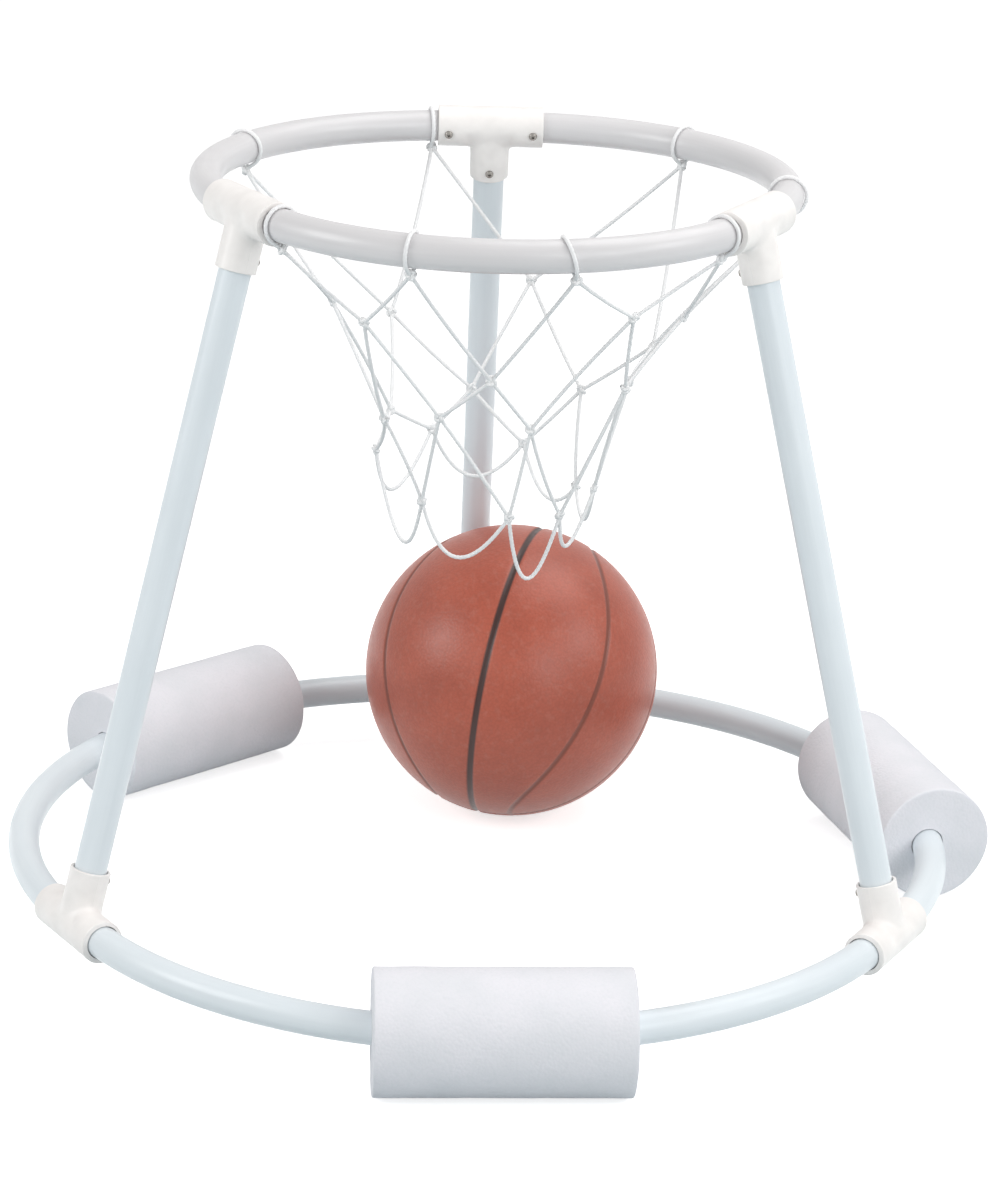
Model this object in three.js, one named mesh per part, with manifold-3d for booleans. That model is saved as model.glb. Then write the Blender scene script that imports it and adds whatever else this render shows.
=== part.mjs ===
// Poolside basketball hoop: a ring-shaped rim on three leaning legs, a larger floating base ring,
// three foam floats, a knotted cord net and the rubber ball that comes with it.
// Millimetres, +Z up. The origin is the middle of the footprint, on the surface the floats rest on.
// A person shooting stands on the -Y side, and one leg stands at the back, on the +Y side.

import * as THREE from 'three';
import * as BufferGeometryUtils from 'three/addons/utils/BufferGeometryUtils.js';
import Module from 'manifold-3d';

const wasm = await Module();
wasm.setup();

const DEG = Math.PI / 180;

// Driving dimensions

const tubeRadius = 13.35;          // 26.7 mm plastic water pipe
const tubeWall = 2.2;
const rimArcRadius = 217;          // bend of the rim tubes' centre line
const baseArcRadius = 369.5;       // bend of the base tubes' centre line
const straightHalf = 21;           // straight stretch of each ring on either side of a tee's middle
const ringSpacing = 577;           // from the base ring's plane up to the rim's

const teeRunHalf = 45.5;           // from a tee's middle to the mouth of a run socket
const teeBranchReach = 47;         // from the run's axis to the branch's mouth
const teeWall = 2.45;
const socketFit = 0.6;             // radial room for a bent tube, besides its bend
const branchFit = 1.05;            // radial room for a leg in its branch
const runStop = 14;                // from the middle of a tee to the ledge a ring tube stops at
const branchStop = 18;             // from the run's axis to the ledge a leg stops at
const ledgeHeight = 1.85;          // how far the ledge stands in from the tube's outside
const endGap = 0.5;                // between a tube's end and its ledge

const screwShankRadius = 1.75;
const screwLength = 9.5;
const screwHeadRadius = 3.5;
const screwHeadHeight = 2.4;
const screwTipLength = 2;
const screwCrown = 0.8;            // rounding of the pan head's edge
const screwInset = 9;              // from a tee's mouth to its screw
const screwHoleFit = 0.3;
const seatGap = 0.3;               // between faces that touch on the real hoop

const floatRadius = 50.8;
const floatLength = 203;
const floatBoreFit = 0.7;          // radial room of a float's bore on its tube
const floatTurns = { front: 1.7, left: -17.7, right: -14.8 };   // degrees from its tube's middle

const ballRadius = 132;
const ballWall = 3;
const ballOffset = 32.5;           // how far right of the back leg the ball lies
const ballLegGap = 5;
const valveRadius = 4;
const valveLength = 6.5;
const valveNeedleRadius = 1;
const valveNeedleDepth = 4;
const valveTilt = 20;              // degrees the valve looks up
const valveTurn = -75;             // degrees it looks right of the back leg

const cordRadius = 1.75;
const knotRadius = 4.4;
const netDrop = 314;               // from the rim's plane down to the lowest loop
const loopFit = 1.3;               // room between a rim loop and the tube it goes round
const loopMouthGap = 0.8;          // between a tee's mouth and the knot of the loop beside it

const cutOverrun = 1;

// Counts of facets

const tubeSides = 12;
const tubeBoreSides = 8;
const rimSteps = 14;
const baseSteps = 18;
const teeSides = 16;
const screwSides = 8;
const drillSides = 6;
const floatSides = 20;
const boreSteps = 6;
const ballSegments = 24;
const ballRows = 12;
const ballInnerRows = 6;
const valveSides = 8;
const cordSides = 4;
const loopSteps = 14;
const hangingSteps = 5;

// Worked-out sizes

const legCount = 3;
const sector = 360 / legCount;
const tubeBore = tubeRadius - tubeWall;
const bendRoom = rimArcRadius - Math.sqrt(rimArcRadius ** 2 - (teeRunHalf - straightHalf) ** 2);
const socketRadius = tubeRadius + bendRoom + socketFit;
const teeRadius = socketRadius + teeWall;
const branchSocketRadius = tubeRadius + branchFit;
const branchRadius = branchSocketRadius + teeWall;
const ledgeRadius = tubeRadius - ledgeHeight;

// A ring is three bent tubes between three tees. Each bend's centre lies off the ring's axis,
// towards the middle of its own tube, because the ring runs straight through each tee.
const bendShift = straightHalf / Math.sin(sector / 2 * DEG);
const bendInset = straightHalf / Math.tan(sector / 2 * DEG);
const rimTeeRadius = rimArcRadius + bendInset;
const baseTeeRadius = baseArcRadius + bendInset;

const legLean = Math.atan2(baseTeeRadius - rimTeeRadius, ringSpacing);
const legSpan = Math.hypot(baseTeeRadius - rimTeeRadius, ringSpacing);

const baseHeight = floatRadius;
const rimHeight = baseHeight + ringSpacing;

// A float is straight and its tube is bent, so the float's axis runs half the bend inside the
// tube's furthest point. The reach is from the middle of the tube's bend.
const floatBend = baseArcRadius - Math.sqrt(baseArcRadius ** 2 - (floatLength / 2) ** 2);
const floatReach = baseArcRadius - floatBend / 2;

const legAzimuths = { back: 90, left: 90 + sector, right: 90 - sector };
const tubeAzimuths = { front: -90, left: -90 - sector, right: -90 + sector };

// Materials

const material = (color, roughness, metalness = 0) =>
  new THREE.MeshStandardMaterial({ color, roughness, metalness });

const bentPipe = material(0xe9e8ee, 0.38);
const legPipe = material(0xe6eff2, 0.38);
const fitting = material(0xf3efe8, 0.35);
const foam = material(0xf5f7fa, 0.9);
const screwSteel = material(0x9b9da0, 0.35, 1);
const cord = material(0xf2f2f2, 0.85);
const ballRubber = material(0xa45844, 0.75);
const valveRubber = material(0x2a2624, 0.8);

// Helpers

function toSolid(geometry, matrix = new THREE.Matrix4()) {
  const bare = geometry.clone().applyMatrix4(matrix);
  bare.deleteAttribute('normal');
  bare.deleteAttribute('uv');
  const merged = BufferGeometryUtils.mergeVertices(bare, 1e-4);
  const vertProperties = new Float32Array(merged.attributes.position.array);
  const triVerts = new Uint32Array(merged.index.array);
  return new wasm.Manifold(new wasm.Mesh({ numProp: 3, vertProperties, triVerts }));
}

function toGeometry(solid) {
  const mesh = solid.getMesh();
  const geometry = new THREE.BufferGeometry();
  geometry.setAttribute('position', new THREE.BufferAttribute(mesh.vertProperties, 3));
  geometry.setIndex(new THREE.BufferAttribute(mesh.triVerts, 1));
  geometry.computeVertexNormals();
  return geometry;
}

function named(name, geometry, surface) {
  const mesh = new THREE.Mesh(geometry, surface);
  mesh.name = name;
  return mesh;
}

// A regular outline whose flats, not its corners, lie on the circle, with a flat facing each way.
function outline(radius, sides, Kind = THREE.Shape) {
  const corner = radius / Math.cos(Math.PI / sides);
  const points = [];
  for (let i = 0; i < sides; i += 1) {
    const angle = (i + 0.5) * 2 * Math.PI / sides;
    points.push(new THREE.Vector2(corner * Math.cos(angle), corner * Math.sin(angle)));
  }
  return new Kind(points);
}

// The same with its corners on the circle.
function inscribed(radius, sides, Kind = THREE.Shape) {
  return outline(radius * Math.cos(Math.PI / sides), sides, Kind);
}

// A prism standing on z = low, up to z = high.
function prism(shape, low, high) {
  const geometry = new THREE.ExtrudeGeometry(shape, { depth: high - low, bevelEnabled: false });
  return geometry.translate(0, 0, low);
}

const alongX = new THREE.Matrix4().makeRotationY(Math.PI / 2);
const alongY = new THREE.Matrix4().makeRotationX(-Math.PI / 2);
const upright = new THREE.Matrix4().makeRotationX(Math.PI / 2);

// Centre line of one ring tube in its ring's frame, from one tee's ledge to the next one's. The
// middle of the tube points along +X.
class RingRun extends THREE.Curve {
  constructor(arcRadius) {
    super();
    this.arcRadius = arcRadius;
    this.straight = straightHalf - runStop - endGap;
    this.bend = arcRadius * sector * DEG;
  }

  getPoint(t) {
    const halfBend = this.bend / 2;
    const along = (t - 0.5) * (this.bend + 2 * this.straight);
    const onBend = Math.max(-halfBend, Math.min(halfBend, along));
    const angle = onBend / this.arcRadius;
    const over = along - onBend;
    const x = bendShift + this.arcRadius * Math.cos(angle) - over * Math.sin(angle);
    const y = this.arcRadius * Math.sin(angle) + over * Math.cos(angle);
    return new THREE.Vector3(x, y, 0);
  }
}

// Part of a bend about the origin, either side of +X.
class BendRun extends THREE.Curve {
  constructor(arcRadius, halfAngle) {
    super();
    this.arcRadius = arcRadius;
    this.halfAngle = halfAngle;
  }

  getPoint(t) {
    const angle = (2 * t - 1) * this.halfAngle;
    return new THREE.Vector3(this.arcRadius * Math.cos(angle), this.arcRadius * Math.sin(angle), 0);
  }
}

function sweep(shape, path, steps) {
  return new THREE.ExtrudeGeometry(shape, { extrudePath: path, steps, bevelEnabled: false });
}

// Where the tees sit

// A tee's own frame: the run lies along Y, the branch points along +Z, the screws face +X.
function teeMatrix(azimuth, radius, turn) {
  const spin = new THREE.Matrix4().makeRotationZ(azimuth * DEG);
  const out = new THREE.Matrix4().makeTranslation(radius, 0, 0);
  const tilt = new THREE.Matrix4().makeRotationY(turn);
  return spin.multiply(out).multiply(tilt);
}

// All the screws face the inside of the hoop.
const aboutFace = new THREE.Matrix4().makeRotationZ(Math.PI);
const rimTee = (azimuth) => teeMatrix(azimuth, rimTeeRadius, Math.PI - legLean);
const baseTee = (azimuth) => teeMatrix(azimuth, baseTeeRadius, -legLean).multiply(aboutFace);

const runScrew = teeRunHalf - screwInset;
const branchScrew = teeBranchReach - screwInset;

// A drill through one wall, pointing along +X, at a place along the run and the branch.
function drill(runPlace, branchPlace, matrix) {
  const hole = prism(outline(screwShankRadius + screwHoleFit, drillSides), 0, teeRadius + cutOverrun);
  hole.applyMatrix4(alongX);
  hole.translate(0, runPlace, branchPlace);
  return toSolid(hole, matrix);
}

// Tees

function teeGeometry() {
  const none = new THREE.Matrix4();
  const run = prism(outline(teeRadius, teeSides), -teeRunHalf, teeRunHalf);
  const branch = prism(outline(branchRadius, teeSides), 0, teeBranchReach);
  let solid = toSolid(run, alongY).add(toSolid(branch));
  const through = teeRunHalf + cutOverrun;
  const passage = prism(outline(ledgeRadius, teeSides), -through, through);
  solid = solid.subtract(toSolid(passage, alongY));
  const socket = prism(outline(socketRadius, teeSides), runStop, through);
  solid = solid.subtract(toSolid(socket, alongY));
  const farSocket = prism(outline(socketRadius, teeSides), -through, -runStop);
  solid = solid.subtract(toSolid(farSocket, alongY));
  const top = teeBranchReach + cutOverrun;
  solid = solid.subtract(toSolid(prism(outline(ledgeRadius, teeSides), 0, top)));
  solid = solid.subtract(toSolid(prism(outline(branchSocketRadius, teeSides), branchStop, top)));
  solid = solid.subtract(drill(runScrew, 0, none));
  solid = solid.subtract(drill(-runScrew, 0, none));
  solid = solid.subtract(drill(0, branchScrew, none));
  return toGeometry(solid);
}

// Screws

// A pan-head screw with its head's seat at x = 0 and its shank pointing along -X.
function screwGeometry() {
  const profile = [
    new THREE.Vector2(0, -screwLength),
    new THREE.Vector2(screwShankRadius, screwTipLength - screwLength),
    new THREE.Vector2(screwShankRadius, 0),
    new THREE.Vector2(screwHeadRadius, 0),
    new THREE.Vector2(screwHeadRadius - screwCrown, screwHeadHeight),
    new THREE.Vector2(0, screwHeadHeight),
  ];
  const solid = toSolid(new THREE.LatheGeometry(profile, screwSides), upright);
  return toGeometry(solid).applyMatrix4(alongX);
}

function addScrews(group, teeName, seatRun, seatBranch) {
  const places = {
    a: [seatRun, -runScrew, 0],
    b: [seatRun, runScrew, 0],
    c: [seatBranch, 0, branchScrew],
  };
  for (const [letter, [x, y, z]] of Object.entries(places)) {
    const screw = named(`${teeName}_screw_${letter}`, screwGeometry(), screwSteel);
    screw.position.set(x + seatGap, y, z);
    group.add(screw);
  }
}

// Ring tubes

function ringTube(arcRadius, steps, azimuth, tee) {
  const shape = inscribed(tubeRadius, tubeSides);
  shape.holes.push(inscribed(tubeBore, tubeBoreSides, THREE.Path));
  const turn = new THREE.Matrix4().makeRotationZ(azimuth * DEG);
  let solid = toSolid(sweep(shape, new RingRun(arcRadius), steps), turn);
  solid = solid.subtract(drill(-runScrew, 0, tee(azimuth + sector / 2)));
  solid = solid.subtract(drill(runScrew, 0, tee(azimuth + sector / 2)));
  solid = solid.subtract(drill(-runScrew, 0, tee(azimuth - sector / 2)));
  solid = solid.subtract(drill(runScrew, 0, tee(azimuth - sector / 2)));
  return toGeometry(solid);
}

// Legs

// A leg in its base tee's frame, running up the branch to the rim's tee.
function legGeometry() {
  const shape = inscribed(tubeRadius, tubeSides);
  shape.holes.push(inscribed(tubeBore, tubeBoreSides, THREE.Path));
  const low = branchStop + endGap;
  let solid = toSolid(prism(shape, low, legSpan - low));
  const here = new THREE.Matrix4();
  solid = solid.subtract(drill(0, branchScrew, here));
  solid = solid.subtract(drill(0, legSpan - branchScrew, here));
  return toGeometry(solid);
}

// Floats

// A float round its tube's bend, with the bend's middle at the origin and the float along +X.
function floatGeometry() {
  const body = prism(outline(floatRadius, floatSides), -floatLength / 2, floatLength / 2);
  body.applyMatrix4(alongY).translate(floatReach, 0, 0);
  const boreHalf = Math.asin((floatLength / 2 + cutOverrun * 2) / (baseArcRadius - floatRadius));
  const bore = sweep(
    outline(tubeRadius + floatBoreFit, tubeSides),
    new BendRun(baseArcRadius, boreHalf),
    boreSteps,
  );
  return toGeometry(toSolid(body).subtract(toSolid(bore)));
}

// Net

// Each loop goes round a rim tube: which tube, and how far from that tube's middle to where it
// leaves a tee, as a share that grows towards the hoop's left seen from the front.
const rimLoopShares = [
  ['front', 0.37], ['front', 1], ['left', 0], ['left', 1],
  ['right', -0.36], ['right', 0.72], ['front', -1], ['front', -0.28],
];

// Three rows of knots and a row of hanging loops: degrees round from the front towards the left,
// and the drop below the rim as a share of the net's drop. Each row lies between the columns of
// the row above. Where the net hangs askew, a third number draws a knot in from the waist's line.
const upperKnots = [
  [34, 0.242], [84, 0.31, 0.75], [146, 0.45], [193, 0.382],
  [250, 0.465], [294, 0.285, 0.91], [328, 0.207], [362, 0.382],
];
const middleKnots = [
  [20, 0.516], [49, 0.564], [122, 0.66], [172, 0.637],
  [228, 0.611], [272, 0.516, 0.87], [317, 0.44], [346.5, 0.548],
];
const lowerKnots = [
  [38, 0.79], [90, 0.723], [150, 0.739], [200, 0.78],
  [240, 0.857], [290, 0.787], [321, 0.825], [351, 0.815],
];
const hangingTips = [
  [20, 0.94], [64, 0.936], [114, 0.866], [172, 0.873],
  [219, 0.908], [264, 0.915], [306, 0.93], [336, 1],
];

// The net's waist: the share of its drop against the share of the rim's radius.
const waistShares = [
  [0, 1], [0.12, 0.93], [0.31, 0.777], [0.42, 0.686], [0.5, 0.594],
  [0.57, 0.507], [0.64, 0.43], [0.72, 0.415], [0.82, 0.396], [0.92, 0.354], [1, 0.34],
];

function waistAt(drop) {
  const last = waistShares.length - 1;
  for (let i = 1; i <= last; i += 1) {
    const [lowDrop, lowRadius] = waistShares[i - 1];
    const [highDrop, highRadius] = waistShares[i];
    if (drop <= highDrop || i === last) {
      return lowRadius + (highRadius - lowRadius) * (drop - lowDrop) / (highDrop - lowDrop);
    }
  }
  return 1;
}

function netPoint([degrees, drop, drawnIn = 1]) {
  const radius = waistAt(drop) * rimTeeRadius * drawnIn;
  const angle = degrees * DEG;
  return new THREE.Vector3(-radius * Math.sin(angle), -radius * Math.cos(angle), -drop * netDrop);
}

const loopRadius = tubeRadius + loopFit + cordRadius;
const headDrop = tubeRadius + loopFit + knotRadius;

// Where a rim loop's middle lies on its tube, and its turn about the vertical.
function rimLoop([side, share]) {
  const mouth = teeRunHalf - straightHalf + loopMouthGap + knotRadius;
  const reach = sector / 2 * DEG - Math.asin(mouth / rimArcRadius);
  const turn = -share * reach;
  const azimuth = tubeAzimuths[side] * DEG;
  const centre = new THREE.Vector3(
    bendShift + rimArcRadius * Math.cos(turn),
    rimArcRadius * Math.sin(turn),
    0,
  );
  centre.applyAxisAngle(new THREE.Vector3(0, 0, 1), azimuth);
  return { centre, turn: azimuth + turn };
}

function loopSolid({ centre, turn }) {
  const ring = new THREE.TorusGeometry(loopRadius, cordRadius, cordSides, loopSteps);
  ring.rotateX(Math.PI / 2).rotateZ(turn).translate(centre.x, centre.y, centre.z);
  return toSolid(ring);
}

function knotSolid(place) {
  const knot = new THREE.OctahedronGeometry(knotRadius);
  return toSolid(knot.translate(place.x, place.y, place.z));
}

function strandSolid(from, to) {
  return toSolid(sweep(inscribed(cordRadius, cordSides), new THREE.LineCurve3(from, to), 1));
}

function hangingSolid(from, tip, to) {
  const reach = tip.clone().multiplyScalar(2).sub(from.clone().lerp(to, 0.5));
  const path = new THREE.QuadraticBezierCurve3(from, reach, to);
  return toSolid(sweep(inscribed(cordRadius, cordSides), path, hangingSteps));
}

function netGeometry() {
  const loops = rimLoopShares.map(rimLoop);
  const heads = loops.map(({ centre }) => centre.clone().setZ(-headDrop));
  const rows = [heads, upperKnots.map(netPoint), middleKnots.map(netPoint), lowerKnots.map(netPoint)];
  const tips = hangingTips.map(netPoint);
  const pieces = loops.map(loopSolid);
  const count = loops.length;
  for (const row of rows) {
    pieces.push(...row.map(knotSolid));
  }
  for (let i = 0; i < count; i += 1) {
    const next = (i + 1) % count;
    const before = (i + count - 1) % count;
    pieces.push(strandSolid(rows[0][i], rows[1][i]));
    pieces.push(strandSolid(rows[0][next], rows[1][i]));
    pieces.push(strandSolid(rows[1][before], rows[2][i]));
    pieces.push(strandSolid(rows[1][i], rows[2][i]));
    pieces.push(strandSolid(rows[2][i], rows[3][i]));
    pieces.push(strandSolid(rows[2][next], rows[3][i]));
    pieces.push(hangingSolid(rows[3][before], tips[i], rows[3][i]));
  }
  return toGeometry(wasm.Manifold.union(pieces));
}

// Ball

function ballPlace() {
  const height = ballRadius + seatGap - baseHeight;
  const clear = Math.sqrt((ballRadius + tubeRadius + ballLegGap) ** 2 - ballOffset ** 2);
  const y = baseTeeRadius - height * Math.tan(legLean) - clear / Math.cos(legLean);
  return new THREE.Vector3(ballOffset, y, ballRadius + seatGap);
}

const innerBall = ballRadius - ballWall;

// A hollow rubber ball, open only at its valve, which points along +Y of the lathe.
function ballGeometry() {
  const points = [];
  const hole = valveRadius;
  for (const [radius, rows, up] of [[innerBall, ballInnerRows, true], [ballRadius, ballRows, false]]) {
    const rim = Math.asin(hole / radius);
    for (let i = 0; i <= rows; i += 1) {
      const share = up ? i / rows : 1 - i / rows;
      const angle = Math.PI - (Math.PI - rim) * share;
      const across = share === 0 ? 0 : radius * Math.sin(angle);
      points.push(new THREE.Vector2(across, radius * Math.cos(angle)));
    }
  }
  return toGeometry(toSolid(new THREE.LatheGeometry(points.reverse(), ballSegments)));
}

function valveGeometry() {
  const top = Math.sqrt(ballRadius ** 2 - valveRadius ** 2);
  const body = valveRadius - seatGap;
  const profile = [
    new THREE.Vector2(0, top - valveLength),
    new THREE.Vector2(body, top - valveLength),
    new THREE.Vector2(body, top),
    new THREE.Vector2(valveNeedleRadius, top),
    new THREE.Vector2(valveNeedleRadius, top - valveNeedleDepth),
    new THREE.Vector2(0, top - valveNeedleDepth),
  ];
  return toGeometry(toSolid(new THREE.LatheGeometry(profile, valveSides)));
}

// Assembly

const group = new THREE.Group();

const baseRing = new THREE.Group();
baseRing.position.z = baseHeight;
const rimRing = new THREE.Group();
rimRing.position.z = rimHeight;
group.add(baseRing, rimRing);

for (const [side, azimuth] of Object.entries(tubeAzimuths)) {
  rimRing.add(named(`rim_tube_${side}`, ringTube(rimArcRadius, rimSteps, azimuth, rimTee), bentPipe));
  baseRing.add(named(`base_tube_${side}`, ringTube(baseArcRadius, baseSteps, azimuth, baseTee), legPipe));
  const bend = new THREE.Group();
  bend.position.x = bendShift;
  bend.rotation.z = floatTurns[side] * DEG;
  bend.add(named(`float_${side}`, floatGeometry(), foam));
  const holder = new THREE.Group();
  holder.rotation.z = azimuth * DEG;
  holder.add(bend);
  baseRing.add(holder);
}

// A tee in place, with its three screws.
function fittedTee(ring, name, matrix) {
  const holder = new THREE.Group();
  holder.applyMatrix4(matrix);
  holder.add(named(name, teeGeometry(), fitting));
  addScrews(holder, name, teeRadius, branchRadius);
  ring.add(holder);
  return holder;
}

for (const [side, azimuth] of Object.entries(legAzimuths)) {
  fittedTee(rimRing, `rim_tee_${side}`, rimTee(azimuth));
  const foot = fittedTee(baseRing, `base_tee_${side}`, baseTee(azimuth));
  foot.add(named(`leg_${side}`, legGeometry(), legPipe));
}

rimRing.add(named('net', netGeometry(), cord));

const ball = new THREE.Group();
ball.position.copy(ballPlace());
ball.rotation.set(valveTilt * DEG, 0, valveTurn * DEG);
ball.add(named('ball_shell', ballGeometry(), ballRubber));
ball.add(named('ball_valve', valveGeometry(), valveRubber));
group.add(ball);

// The front and right floats reach further from the rings' axis than the pipes on the far sides do,
// so the whole hoop moves back and left until its footprint's middle is over the origin.
const footprint = new THREE.Box3().setFromObject(group, true);
group.position.x = -(footprint.min.x + footprint.max.x) / 2;
group.position.y = -(footprint.min.y + footprint.max.y) / 2;

export default group;
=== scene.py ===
"""Poolside basketball hoop: pipe rings and legs, foam floats, a knotted net and a rubber ball.

Every piece is modelled in metres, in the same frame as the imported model, and stands for one of its
nodes. The ball is thrown from the -Y side.
"""

import math
import random

import bpy
from mathutils import Matrix, Quaternion, Vector


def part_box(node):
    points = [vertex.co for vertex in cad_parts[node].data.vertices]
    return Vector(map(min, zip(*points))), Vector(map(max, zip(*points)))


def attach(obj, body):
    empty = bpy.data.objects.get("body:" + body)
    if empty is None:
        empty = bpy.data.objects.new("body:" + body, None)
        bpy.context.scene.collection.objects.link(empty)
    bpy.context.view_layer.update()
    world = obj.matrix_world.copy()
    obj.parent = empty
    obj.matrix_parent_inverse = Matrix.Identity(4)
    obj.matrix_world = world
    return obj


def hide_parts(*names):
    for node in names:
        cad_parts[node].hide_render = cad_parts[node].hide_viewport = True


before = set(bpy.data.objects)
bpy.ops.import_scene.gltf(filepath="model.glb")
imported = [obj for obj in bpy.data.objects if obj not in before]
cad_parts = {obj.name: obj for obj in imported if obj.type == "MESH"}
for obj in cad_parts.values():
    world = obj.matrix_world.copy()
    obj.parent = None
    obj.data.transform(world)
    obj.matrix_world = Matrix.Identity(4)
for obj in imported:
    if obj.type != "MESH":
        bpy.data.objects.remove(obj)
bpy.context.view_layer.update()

MM = 0.001

# Pipes, repeated from the part

TUBE_RADIUS = 13.35 * MM
TUBE_WALL = 2.2 * MM
TUBE_BORE = TUBE_RADIUS - TUBE_WALL
RIM_ARC = 217 * MM
BASE_ARC = 369.5 * MM
STRAIGHT_HALF = 21 * MM
RING_SPACING = 577 * MM
SECTOR = math.radians(120)
BEND_SHIFT = STRAIGHT_HALF / math.sin(SECTOR / 2)
BEND_INSET = STRAIGHT_HALF / math.tan(SECTOR / 2)
RIM_TEE_REACH = RIM_ARC + BEND_INSET
BASE_TEE_REACH = BASE_ARC + BEND_INSET
LEG_LEAN = math.atan2(BASE_TEE_REACH - RIM_TEE_REACH, RING_SPACING)
LEG_SPAN = math.hypot(BASE_TEE_REACH - RIM_TEE_REACH, RING_SPACING)
END_GAP = 0.5 * MM

# Tees

TEE_RUN_HALF = 45.5 * MM
TEE_BRANCH_REACH = 47 * MM
TEE_WALL = 2.45 * MM
SOCKET_FIT = 0.6 * MM
BRANCH_FIT = 1.05 * MM
RUN_STOP = 14 * MM
BRANCH_STOP = 18 * MM
LEDGE_HEIGHT = 1.85 * MM
LEDGE_RADIUS = TUBE_RADIUS - LEDGE_HEIGHT
BEND_ROOM = RIM_ARC - math.sqrt(RIM_ARC**2 - (TEE_RUN_HALF - STRAIGHT_HALF) ** 2)
SOCKET_RADIUS = TUBE_RADIUS + BEND_ROOM + SOCKET_FIT
TEE_RADIUS = SOCKET_RADIUS + TEE_WALL
BRANCH_SOCKET_RADIUS = TUBE_RADIUS + BRANCH_FIT
BRANCH_RADIUS = BRANCH_SOCKET_RADIUS + TEE_WALL

# Screws

SHANK_RADIUS = 1.75 * MM
SCREW_LENGTH = 9.5 * MM
HEAD_RADIUS = 3.5 * MM
HEAD_HEIGHT = 2.4 * MM
SCREW_INSET = 9 * MM
SCREW_HOLE_FIT = 0.3 * MM
SEAT_GAP = 0.3 * MM
RUN_SCREW = TEE_RUN_HALF - SCREW_INSET
BRANCH_SCREW = TEE_BRANCH_REACH - SCREW_INSET

# Floats, ball and net

FLOAT_RADIUS = 50.8 * MM
FLOAT_LENGTH = 203 * MM
FLOAT_BORE_FIT = 0.7 * MM
FLOAT_BEND = BASE_ARC - math.sqrt(BASE_ARC**2 - (FLOAT_LENGTH / 2) ** 2)
FLOAT_REACH = BASE_ARC - FLOAT_BEND / 2
BALL_RADIUS = 132 * MM
BALL_WALL = 3 * MM
VALVE_RADIUS = 4 * MM
VALVE_LENGTH = 6.5 * MM
VALVE_TILT = math.radians(20)
VALVE_TURN = math.radians(-75)
CORD_RADIUS = 1.75 * MM
KNOT_RADIUS = 4.4 * MM
NET_DROP = 314 * MM
LOOP_FIT = 1.3 * MM
LOOP_MOUTH_GAP = 0.8 * MM

LEG_AZIMUTHS = {"back": 90, "left": 210, "right": 330}
TUBE_AZIMUTHS = {"front": -90, "left": 150, "right": 30}
FLOAT_TURNS = {"front": 1.7, "left": -17.7, "right": -14.8}


def middle(node):
    low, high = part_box(node)
    return (low + high) / 2


def turn_z(degrees):
    return Matrix.Rotation(math.radians(degrees), 4, "Z")


def float_bend(side):
    """The frame of a base pipe's bend in its ring, with the float on its +X."""
    to_bend = Matrix.Translation((BEND_SHIFT, 0, 0))
    return turn_z(TUBE_AZIMUTHS[side]) @ to_bend @ turn_z(FLOAT_TURNS[side])


# The rings stand where the front float puts them.
RING_MIDDLE = middle("float_front") - float_bend("front") @ Vector((FLOAT_REACH, 0, 0))
BASE_RING = Matrix.Translation(RING_MIDDLE)
RIM_RING = Matrix.Translation((0, 0, RING_SPACING)) @ BASE_RING


# Camera, fitted to the photograph

camera_place = Vector((-0.1252, -3.1116, 1.3422))
camera_aim = Vector((-0.0097, 0.0087, 0.2742))
camera_roll = math.radians(1.76)

camera_data = bpy.data.cameras.new("camera")
camera_data.lens = 117.54
camera_data.sensor_width = 36
camera_data.clip_end = 100
camera = bpy.data.objects.new("camera", camera_data)
bpy.context.scene.collection.objects.link(camera)
camera.location = camera_place
camera.rotation_mode = "QUATERNION"
facing = (camera_aim - camera_place).to_track_quat("-Z", "Y")
camera.rotation_quaternion = facing @ Quaternion((0, 0, 1), camera_roll)
bpy.context.scene.camera = camera


# Materials


def linear(hex_colour):
    """An sRGB hex colour as the linear colour a shader takes."""
    parts = [int(hex_colour[i : i + 2], 16) / 255 for i in (1, 3, 5)]
    return (*[p / 12.92 if p <= 0.04045 else ((p + 0.055) / 1.055) ** 2.4 for p in parts], 1.0)


def node(tree, kind, inputs=(), output=0, **settings):
    """Adds a shader node with its settings and gives one of its outputs. The inputs are values or
    links, in the order of the node's sockets or by the sockets' names."""
    made = tree.nodes.new("ShaderNode" + kind)
    for name, value in settings.items():
        setattr(made, name, value)
    wanted = inputs if isinstance(inputs, dict) else dict(enumerate(inputs))
    for socket, value in wanted.items():
        if isinstance(value, bpy.types.NodeSocket):
            tree.links.new(value, made.inputs[socket])
        else:
            made.inputs[socket].default_value = value
    return made.outputs[output] if made.outputs else None


def surface(name, colour, roughness, **values):
    """A new material with one Principled shader: the material, its tree and the shader."""
    made = bpy.data.materials.new(name)
    made.use_nodes = True
    tree = made.node_tree
    shader = tree.nodes["Principled BSDF"]
    shader.inputs["Base Color"].default_value = linear(colour)
    shader.inputs["Roughness"].default_value = roughness
    for socket, value in values.items():
        shader.inputs[socket.replace("_", " ")].default_value = value
    made.diffuse_color = linear(colour)
    return made, tree, shader


def drive(tree, shader, **patterns):
    """Links a pattern to each of the shader's sockets that is named."""
    for socket, pattern in patterns.items():
        tree.links.new(pattern, shader.inputs[socket.replace("_", " ")])


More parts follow.
